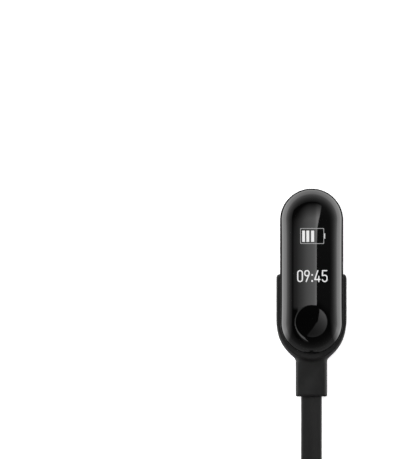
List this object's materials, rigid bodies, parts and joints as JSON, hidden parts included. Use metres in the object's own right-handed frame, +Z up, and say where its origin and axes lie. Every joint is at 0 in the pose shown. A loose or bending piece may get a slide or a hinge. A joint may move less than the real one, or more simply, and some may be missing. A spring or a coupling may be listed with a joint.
{
  "type": "fitness tracker in charging cradle",
  "caption": "Pill-shaped wearable tracker capsule with a glossy crowned face, docked in a fork-shaped charging cradle on a flat cord with a USB-A plug.",
  "frame": {"origin": "bottom centre of the docked tracker and cradle, on the surface they lie on; the cord and its plug aren't counted", "axes": "+Z up out of the display, +Y along the tracker away from the cord, +X across it to the right as the display is read"},
  "size_m": [0.0198, 0.1722, 0.0139],
  "materials": {
    "glass_black": "black polished front glass, opaque",
    "gasket_black": "matt black elastomer",
    "panel": "display laminate",
    "flex_copper": "polyimide flex circuit",
    "sensor_film": "touch sensor film",
    "shell_black": "fine matt moulded shell",
    "chassis_grey": "glass-filled moulding",
    "cell_foil": "foil pouch",
    "board_green": "solder mask",
    "chip_black": "moulded chip packages",
    "tin": "tinned steel",
    "gold": "gold-plated contact metal",
    "steel": "plain steel",
    "tungsten": "sintered tungsten weight",
    "led_green": "green LED lenses",
    "diode_dark": "photodiode die under clear resin",
    "baffle_black": "black baffle foam",
    "window_dark": "infrared-clear dark window",
    "cradle_black": "fine spark-eroded moulding",
    "cord_black": "soft matt cable jacket",
    "grip_black": "soft overmoulding",
    "spring_steel": "spring wire",
    "lead_red": "wire insulation",
    "core_white": "polyethylene inner mould",
    "usb_steel": "nickel-plated steel sheet",
    "tongue_white": "insulator"
  },
  "bodies": {
    "charger": {"cradle_shell": "cradle_black", "cradle_base": "cradle_black", "contact_board": "board_green", "pin_barrels": "gold", "pin_spring_left": "spring_steel", "pin_spring_right": "spring_steel", "charger_leads": "lead_red", "cord_anchor": "chassis_grey", "cord": "cord_black", "plug_collar": "grip_black", "plug_grip": "grip_black", "plug_core": "core_white", "plug_leads": "lead_red", "usb_shell": "usb_steel", "usb_tongue": "tongue_white", "usb_contacts": "gold"},
    "tracker": {"front_glass": "glass_black", "glass_gasket": "gasket_black", "display_panel": "panel", "display_flex": "flex_copper", "touch_sensor": "sensor_film", "back_shell": "shell_black", "inner_chassis": "chassis_grey", "battery_cell": "cell_foil", "battery_board": "board_green", "main_board": "board_green", "board_chips": "chip_black", "rf_shield": "tin", "antenna": "gold", "motor_can": "steel", "motor_shaft": "steel", "sensor_board": "board_green", "sensor_leds": "led_green", "photodiode": "diode_dark", "light_baffle": "baffle_black", "sensor_window": "window_dark", "window_gasket": "gasket_black", "contact_pads": "gold", "contact_springs": "gold"},
    "rotor": {"motor_rotor": "tungsten"},
    "left_pin": {"plunger_left": "gold"},
    "right_pin": {"plunger_right": "gold"}
  },
  "joints": [
    {"name": "tracker_slide", "type": "slide", "parent": "charger", "child": "tracker", "axis": [0, 1, 0], "range_m": [0, 0.026]},
    {"name": "rotor_spin", "type": "hinge", "parent": "tracker", "child": "rotor", "pos_m": [0, -0.00655, 0.0045], "axis": [0, 0, 1], "continuous": true},
    {"name": "left_pin_press", "type": "slide", "parent": "charger", "child": "left_pin", "axis": [0, 0.7071, 0.7071], "range_m": [-0.0005, 0], "stiffness_N_per_m": 600, "springref_m": 0.0004, "deforming": ["pin_spring_left"]},
    {"name": "right_pin_press", "type": "slide", "parent": "charger", "child": "right_pin", "axis": [0, 0.7071, 0.7071], "range_m": [-0.0005, 0], "stiffness_N_per_m": 600, "springref_m": 0.0004, "deforming": ["pin_spring_right"]}
  ]
}
